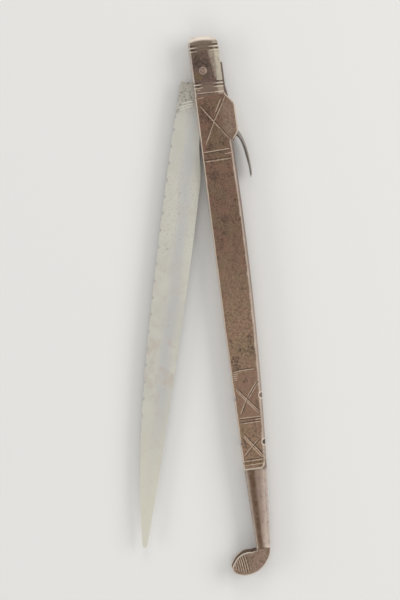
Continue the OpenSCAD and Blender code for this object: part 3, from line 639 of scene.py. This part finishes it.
def link(name, data):
    thing = bpy.data.objects.new(name, data)
    bpy.context.scene.collection.objects.link(thing)
    return thing


def joined_mesh(node):
    """The mesh of a node with its loose triangles joined."""
    source = NODES[node].data
    bm = bmesh.new()
    corners = [bm.verts.new(v.co) for v in source.vertices]
    for face in source.polygons:
        try:
            bm.faces.new([corners[i] for i in face.vertices])
        except ValueError:
            pass
    bmesh.ops.remove_doubles(bm, verts=bm.verts, dist=2e-6)
    mesh = bpy.data.meshes.new(node + "_shape")
    bm.to_mesh(mesh)
    bm.free()
    return mesh


def new_piece(name, node, material, body):
    """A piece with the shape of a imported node, which it stands for; a piece that bends has no body."""
    piece = link(name, joined_mesh(node))
    piece.data.materials.append(material)
    if body:
        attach(piece, body)
    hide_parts(node)
    return piece


def finish_faces(piece, angle=32):
    """Smooth shading over the curves, sharp edges, and flat shading on the level faces."""
    mesh = piece.data
    mesh.shade_smooth()
    mesh.set_sharp_from_angle(angle=math.radians(angle))
    for face in mesh.polygons:
        face.use_smooth = abs(face.normal.z) < 0.9995


def apply_modifiers(piece):
    """Works the modifiers into the mesh of a piece and removes them."""
    graph = bpy.context.evaluated_depsgraph_get()
    mesh = bpy.data.meshes.new_from_object(piece.evaluated_get(graph))
    piece.modifiers.clear()
    piece.data = mesh


# Cutting lines and chamfers

def stroke_tree():
    """Geometry nodes that sweep each path into a tapered V-shaped cutter."""
    tree = bpy.data.node_groups.new("engraved_stroke", "GeometryNodeTree")
    for label, kind in (("Geometry", "NodeSocketGeometry"), ("Width", FLOAT), ("Depth", FLOAT),
                        ("Material", "NodeSocketMaterial")):
        tree.interface.new_socket(label, in_out="INPUT", socket_type=kind)
    tree.interface.new_socket("Geometry", in_out="OUTPUT", socket_type="NodeSocketGeometry")
    given = tree.nodes.new("NodeGroupInput").outputs
    path = add(tree, "GeometryNodeMeshToCurve", {"Mesh": given["Geometry"]}).outputs[0]
    path = add(tree, "GeometryNodeSetCurveNormal", {"Curve": path}, mode="Z_UP").outputs[0]
    factor = add(tree, "GeometryNodeSplineParameter").outputs["Factor"]
    from_middle = calc(tree, "ABSOLUTE", minus(tree, factor, 0.5))
    taper = add(tree, "ShaderNodeMapRange", {
        "Value": from_middle, "From Min": 0.5, "From Max": 0.36, "To Min": 0.25, "To Max": 1.0}).outputs[0]
    path = add(tree, "GeometryNodeSetCurveRadius", {"Curve": path, "Radius": taper}).outputs[0]
    ring = add(tree, "GeometryNodeCurvePrimitiveCircle", {"Resolution": 4, "Radius": 1.0}).outputs[0]
    half = times(tree, given["Width"], 0.5)
    size = add(tree, "ShaderNodeCombineXYZ", {0: half, 1: given["Depth"], 2: 1.0}).outputs[0]
    ring = add(tree, "GeometryNodeTransform", {"Geometry": ring, "Scale": size}).outputs[0]
    radius = add(tree, "GeometryNodeInputRadius").outputs[0]
    solid = add(tree, "GeometryNodeCurveToMesh", {
        "Curve": path, "Profile Curve": ring, "Scale": radius, "Fill Caps": True}).outputs[0]
    real = add(tree, "GeometryNodeRealizeInstances", {"Geometry": solid}).outputs[0]
    done = add(tree, "GeometryNodeSetMaterial", {"Geometry": real, "Material": given["Material"]}).outputs[0]
    tree.links.new(done, tree.nodes.new("NodeGroupOutput").inputs[0])
    return tree


def socket_id(tree, label):
    return next(s.identifier for s in tree.interface.items_tree
                if s.item_type == "SOCKET" and s.in_out == "INPUT" and s.name == label)


def swept_cutter(tree, points, edges, width, depth, material):
    """A cutter swept along joined points given in millimetres."""
    mesh = bpy.data.meshes.new("strokes")
    mesh.from_pydata([Vector(point) * MM for point in points], edges, [])
    tool = link("stroke_cutter", mesh)
    modifier = tool.modifiers.new("stroke", "NODES")
    modifier.node_group = tree
    modifier[socket_id(tree, "Width")] = width * MM
    modifier[socket_id(tree, "Depth")] = depth * MM
    modifier[socket_id(tree, "Material")] = material
    apply_modifiers(tool)
    return tool


def block_cutter(low, high, material):
    """A plain block between two corners in millimetres."""
    bm = bmesh.new()
    bmesh.ops.create_cube(bm, size=1.0)
    for vert in bm.verts:
        part = vert.co + Vector((0.5, 0.5, 0.5))
        vert.co = Vector([a + (b - a) * t for a, b, t in zip(low, high, part)]) * MM
    mesh = bpy.data.meshes.new("block")
    bm.to_mesh(mesh)
    bm.free()
    mesh.materials.append(material)
    return link("block_cutter", mesh)


def cut(piece, tool):
    """Takes the tool's shape out of the piece; the cut faces get the tool's material."""
    modifier = piece.modifiers.new("cut", "BOOLEAN")
    modifier.operation = "DIFFERENCE"
    modifier.solver = "MANIFOLD"
    modifier.material_mode = "TRANSFER"
    modifier.object = tool
    apply_modifiers(piece)
    bpy.data.objects.remove(tool)


def chamfer(piece, tree, size, wanted, material):
    """Takes off the sharp edges whose middle, in millimetres, is wanted."""
    bm = bmesh.new()
    bm.from_mesh(piece.data)
    places, edges = {}, []
    for edge in bm.edges:
        middle = (edge.verts[0].co + edge.verts[1].co) / 2 / MM
        sharp = len(edge.link_faces) == 2 and edge.calc_face_angle(0) > math.radians(38)
        if sharp and wanted(*middle):
            for vert in edge.verts:
                places.setdefault(vert.index, (len(places), vert.co / MM))
            edges.append([places[vert.index][0] for vert in edge.verts])
    bm.free()
    points = [point for _, point in places.values()]
    cut(piece, swept_cutter(tree, points, edges, 2 * size, size, material))


def cut_group(piece, tree, paths, width, depth, height, material):
    """Cuts strokes that don't meet, each lying with its middle on the surface."""
    points, edges = [], []
    for path in paths:
        first = len(points)
        points += [(x, y, height(x, y)) for x, y in path]
        edges += [(i, i + 1) for i in range(first, len(points) - 1)]
    cut(piece, swept_cutter(tree, points, edges, width, depth, material))


def cut_strokes(piece, tree, paths, width, depth, height, material):
    """Engraves strokes in passes, because cutters that meet must not cut at once."""
    passes = []
    for path in paths:
        free = [group for group in passes if not any(meet(path, other, width + 0.1) for other in group)]
        if free:
            free[0].append(path)
        else:
            passes.append([path])
    for group in passes:
        cut_group(piece, tree, group, width, depth, height, material)


# Strokes, each a list of places in millimetres

def stroke(start, end, bow=0.0, count=10):
    """Points of one engraved stroke, bowed sideways by a given amount."""
    run = Vector(end) - Vector(start)
    side = Vector((-run.y, run.x)).normalized()
    points = []
    for i in range(count + 1):
        t = i / count
        at = Vector(start) + run * t + side * bow * 4 * t * (1 - t)
        points.append((at.x, at.y))
    return points


def beside(path, gap):
    """The same stroke moved sideways."""
    run = Vector(path[-1]) - Vector(path[0])
    side = Vector((-run.y, run.x)).normalized() * gap
    return [(x + side.x, y + side.y) for x, y in path]


def off_stroke(point, path):
    """How far a point lies from a stroke."""
    found = []
    for start, end in zip(path, path[1:]):
        part = intersect_point_line(point, start, end)[1]
        found.append((point - start.lerp(end, min(max(part, 0.0), 1.0))).length)
    return min(found)


def meet(a, b, gap):
    """Whether two strokes cross or come within a gap of each other."""
    a, b = [Vector(p) for p in a], [Vector(p) for p in b]
    for p, q in zip(a, a[1:]):
        for r, s in zip(b, b[1:]):
            if intersect_line_line_2d(p, q, r, s):
                return True
    return min([off_stroke(p, b) for p in a] + [off_stroke(p, a) for p in b]) < gap


def hatching(corner, along, across, count, length, seed):
    """Near-parallel scratched strokes, each a little off in length and direction."""
    dice = random.Random(seed)
    along, across = Vector(along).normalized(), Vector(across)
    lines = []
    for i in range(count):
        start = Vector(corner) + across * i + along * dice.uniform(-0.3, 0.3)
        reach = length * dice.uniform(0.7, 1.1)
        tip = start + along * reach + Vector((dice.uniform(-0.2, 0.2), dice.uniform(-0.2, 0.2)))
        lines.append(stroke(start, tip, dice.uniform(-0.08, 0.08), 4))
    return lines


def strong_cheek_lines():
    """Ring lines and three crossed panels; each line with the gap to the shade beside it."""
    bent = stroke((13.5, 9.5), (25.9, 2.2), 0.15) + stroke((25.9, 2.2), (37.2, -3.4), 0.05)[1:]
    return [
        (stroke((40.7, -5.0), (40.2, 9.6)), -0.5), (stroke((45.4, -5.0), (45.0, 9.8)), 0.5),
        (stroke((17.2, -3.9), (36.3, 9.5)), 0.42), (bent, -0.4),
        (stroke((151.6, -4.8), (151.0, 6.6), 0.2), 0.4),
        (stroke((174.9, -4.4), (175.0, 7.4)), -0.45), (stroke((177.6, -4.4), (177.4, 7.2)), 0.45),
        (stroke((156.3, 7.8), (164.4, 1.3), -0.1), 0.5), (stroke((164.4, 1.3), (173.0, -3.3)), 0.35),
        (stroke((159.5, -4.2), (172.8, 6.6)), 0.35),
        (stroke((182.8, -3.4), (195.2, 5.9)), 0.45), (stroke((185.8, 4.4), (194.2, -4.4)), 0.35),
        (stroke((196.4, -4.6), (196.2, 6.3)), 0.4)]


def fine_cheek_lines():
    """Single fine lines, and four close ones beside the middle panel."""
    lines = [
        stroke((42.5, 5.6), (42.4, 9.4)), stroke((176.3, 3.5), (176.1, 6.9)),
        stroke((14.7, 7.1), (21.5, 3.5)),
        stroke((157.4, 7.9), (165.6, 1.5)), stroke((183.9, -3.6), (195.7, 4.9)),
        stroke((160.6, -4.3), (173.4, 5.8)), stroke((13.6, -4.6), (13.3, -1.2)),
        stroke((198.6, -4.4), (198.4, 5.2))]
    return lines + [stroke((152.6 + i, -4.7), (152.5 + i, -1.8 - 0.3 * i)) for i in range(4)]


def cheek_scratches():
    """Faint cross-hatching in the side fields of the panels."""
    lines = hatching((16.0, -3.6), (1, 0.8), (0.85, -0.1), 8, 4.4, 3)
    lines += hatching((18.0, 1.4), (1, -1), (0.8, -0.1), 8, 4.4, 4)
    lines += hatching((158.4, 4.4), (1, 0.9), (0.9, -0.5), 5, 2.6, 5)
    lines += hatching((166.6, 6.2), (0.9, -1), (0.9, 0.05), 6, 2.4, 7)
    lines += hatching((184.2, -4.0), (1, 1), (0.9, 0.1), 6, 2.4, 6)
    return lines


def engrave_lines(piece, tree, strong, fine, scratches, height, materials):
    """Shaded strong lines, fine lines and scratches, cut one kind after another."""
    shades = [beside(path, gap) for path, gap in strong]
    cut_strokes(piece, tree, scratches, 0.3, 0.1, height, materials["cut_shade"])
    cut_strokes(piece, tree, shades, 0.62, 0.14, height, materials["cut_shade"])
    cut_strokes(piece, tree, [path for path, gap in strong], 0.56, 0.24, height, materials["cut_line"])
    cut_strokes(piece, tree, fine, 0.42, 0.16, height, materials["cut_line"])


# The handle

def face_height(x, y):
    """Height of the front face over a point of the body, in millimetres."""
    back_y = BACK_PEAK[1] - BACK_R + math.sqrt(BACK_R ** 2 - (x - BACK_PEAK[0]) ** 2)
    rounded = y - (back_y - BACK_ROUND)
    if rounded <= 0 or x < EAR_END:
        return FRONT_Z
    rounded = min(rounded, BACK_ROUND * 0.92)
    return FRONT_Z - BACK_ROUND + math.sqrt(BACK_ROUND ** 2 - rounded ** 2)


def rear_height(x, y):
    return FRONT_Z - face_height(x, y)


def make_cheeks(materials, tree):
    for node, height in (("front_cheek", face_height), ("rear_cheek", rear_height)):
        piece = new_piece(node + "_engraved", node, materials["handle_iron"], "handle")
        strong, fine, scratches = strong_cheek_lines(), fine_cheek_lines(), cheek_scratches()
        engrave_lines(piece, tree, strong, fine, scratches, height, materials)
        finish_faces(piece)


def make_bolsters(materials, tree):
    strong = [(stroke((11.1, -4.6), (11.35, 4.6)), -0.4)]
    fine = [stroke((8.5, -4.3), (8.3, -1.0)), stroke((9.6, -4.4), (9.5, -2.4))]
    for node, high in (("front_bolster", FRONT_Z), ("rear_bolster", 0.0)):
        piece = new_piece(node + "_worn", node, materials["head_iron"], "handle")
        engrave_lines(piece, tree, strong, fine, [], lambda x, y, high=high: high, materials)
        finish_faces(piece)


def make_tail_halves(materials, tree):
    """Tail and knob plate in one: the tail's end squared off, the knob's rim chamfered, its lines cut."""
    lines = [stroke((x, y), (x + run, y + 0.14 * run), 0.15, 6) for x, y, run in (
        (246.6, -15.6, 4.0), (244.6, -14.7, 6.6), (243.6, -13.7, 8.2), (243.0, -12.7, 9.2),
        (242.7, -11.6, 9.8), (242.6, -10.4, 9.8))]
    for node, high, outside in (("front_tail", FRONT_Z - KNOB_IN, FRONT_Z), ("rear_tail", KNOB_IN, 0.0)):
        piece = new_piece(node + "_worn", node, materials["tail_iron"], "handle")

        def on_knob_rim(x, y, z, high=high):
            off_rivet = math.hypot(x - KNOB_RIVET[0], y - KNOB_RIVET[1])
            return x > KNOB_X + 0.02 and abs(z - high) < 0.05 and off_rivet > 0.9

        def on_ledge(x, y, z):
            """The inner edge of the rear knob plate, on the side that faces the blade."""
            past_middle = 0.82 * (x - 249) + 0.57 * (y + 9)
            return x > KNOB_X + 0.5 and abs(z - CHEEK_T) < 0.05 and past_middle < -2.5

        def level(x, y, high=high):
            return high

        low, top = sorted((high, outside))
        end = block_cutter((KNOB_X - TAIL_TRIM, -6, low), (KNOB_X + 1, 5, top), materials["tail_iron"])
        cut(piece, end)
        chamfer(piece, tree, 0.55, on_knob_rim, materials["knob_rim"])
        if node == "rear_tail":
            chamfer(piece, tree, 0.4, on_ledge, materials["knob_rim"])
        shades = [beside(path, 0.4) for path in lines]
        cut_strokes(piece, tree, shades, 0.4, 0.1, level, materials["cut_shade"])
        cut_strokes(piece, tree, lines, 0.36, 0.14, level, materials["cut_line"])
        finish_faces(piece)


def make_fillers(materials):
    for name, node in (("knob_spacer_rim", "knob_spacer"), ("back_strip_worn", "back_strip")):
        finish_faces(new_piece(name, node, materials["worn_iron"], "handle"))


# The moving pieces

def make_blade(materials, tree):
    """The forged blade, with three lines across each side of the ricasso."""
    piece = new_piece("blade_forged", "blade", materials["blade_steel"], "blade")
    lines = [stroke((17.9, -13.9), (16.7, -6.9), 0.35), stroke((16.5, -13.6), (15.6, -6.9), 0.35),
             stroke((14.9, -12.6), (14.2, -6.9), 0.3)]
    for z in (MID_Z - HALF_BLADE, MID_Z + HALF_BLADE):
        cut_group(piece, tree, lines, 0.46, 0.14, lambda x, y, z=z: z, materials["blade_line"])
    finish_faces(piece, 25)


def make_lever(materials, tree):
    """The forged lever, its thumb tail chamfered."""
    finish = materials["lever_steel"]
    piece = new_piece("lock_lever_forged", "lock_lever", finish, "lock_lever")

    def on_thumb_tail(x, y, z):
        return abs(abs(z - MID_Z) - HALF_BLADE) < 0.05 and 20 < x < 54.6 and y > 11.4

    chamfer(piece, tree, 0.22, on_thumb_tail, finish)
    finish_faces(piece)


def make_spring(materials):
    """The leaf spring, cut into short lengths from its tip to its root; on the knife its free end bends with
    the heel of the lever.
    """
    finish = materials["spring_steel"]
    piece = new_piece("lever_spring_leaf", "lever_spring", finish, None)
    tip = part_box("lever_spring")[0].x
    bm = bmesh.new()
    bm.from_mesh(piece.data)
    for x in range(math.ceil(tip / MM), int(SPRING_ROOT)):
        everything = bm.verts[:] + bm.edges[:] + bm.faces[:]
        bmesh.ops.bisect_plane(bm, geom=everything, dist=1e-7, plane_co=(x * MM, 0, 0), plane_no=(1, 0, 0))
    bm.to_mesh(piece.data)
    bm.free()
    finish_faces(piece)
    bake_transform(piece)


def dress_nodes(materials):
    """Gives the small nodes that stay as packed their finish."""
    finishes = {
        "pivot_rivet": "pivot_rivet", "pivot_washers": "washer_brass", "lever_pin": "handle_iron",
        "spring_rivets": "worn_iron", "stop_pin": "handle_iron", "bolster_rivets": "head_iron",
        "cheek_rivets": "handle_iron", "tail_rivets": "tail_iron", "knob_rivet": "tail_iron"}
    for node, finish in finishes.items():
        for place in NODES[node].material_slots:
            place.material = materials[finish]


# Floor and lights

def make_floor():
    """A wide pale floor, just under the knife."""
    half, under = 3.0, -0.0002
    mesh = bpy.data.meshes.new("floor")
    corners = [(x * half, y * half, under) for x, y in ((-1, -1), (1, -1), (1, 1), (-1, 1))]
    mesh.from_pydata(corners, [], [(0, 1, 2, 3)])
    material, _, shader, _ = new_material("pale_floor", 0.0)
    shader.inputs["Base Color"].default_value = (0.78, 0.77, 0.75, 1)
    shader.inputs["Roughness"].default_value = 0.9
    mesh.materials.append(material)
    link("floor", mesh)


def add_softbox(name, at, size, power):
    """A soft lamp aimed at the middle of the handle."""
    data = bpy.data.lights.new(name, "AREA")
    data.shape = "RECTANGLE"
    data.size, data.size_y = size
    data.energy = power
    lamp = link(name, data)
    lamp.location = at
    lamp.rotation_euler = (Vector((0.1, 0.0, 0.0)) - Vector(at)).to_track_quat("-Z", "Y").to_euler()


def light_scene():
    world = bpy.data.worlds.new("studio")
    world.use_nodes = True
    background = world.node_tree.nodes["Background"]
    background.inputs["Color"].default_value = (1, 1, 1, 1)
    background.inputs["Strength"].default_value = 0.57
    bpy.context.scene.world = world
    add_softbox("back_side_softbox", (0.0, 1.1, 0.75), (1.2, 0.7), 8)
    add_softbox("slot_side_softbox", (0.1, -1.2, 0.6), (1.0, 0.4), 3.5)
    add_softbox("head_end_softbox", (-1.1, 0.1, 0.8), (0.6, 0.8), 3)
    add_softbox("tail_end_softbox", (1.3, -0.1, 0.7), (0.6, 0.8), 2.5)


def main():
    aim_camera()
    materials = make_materials()
    tree = stroke_tree()
    make_cheeks(materials, tree)
    make_bolsters(materials, tree)
    make_tail_halves(materials, tree)
    make_fillers(materials)
    make_blade(materials, tree)
    make_lever(materials, tree)
    make_spring(materials)
    dress_nodes(materials)
    make_floor()
    light_scene()
    bpy.context.scene.view_settings.view_transform = "Standard"


main()
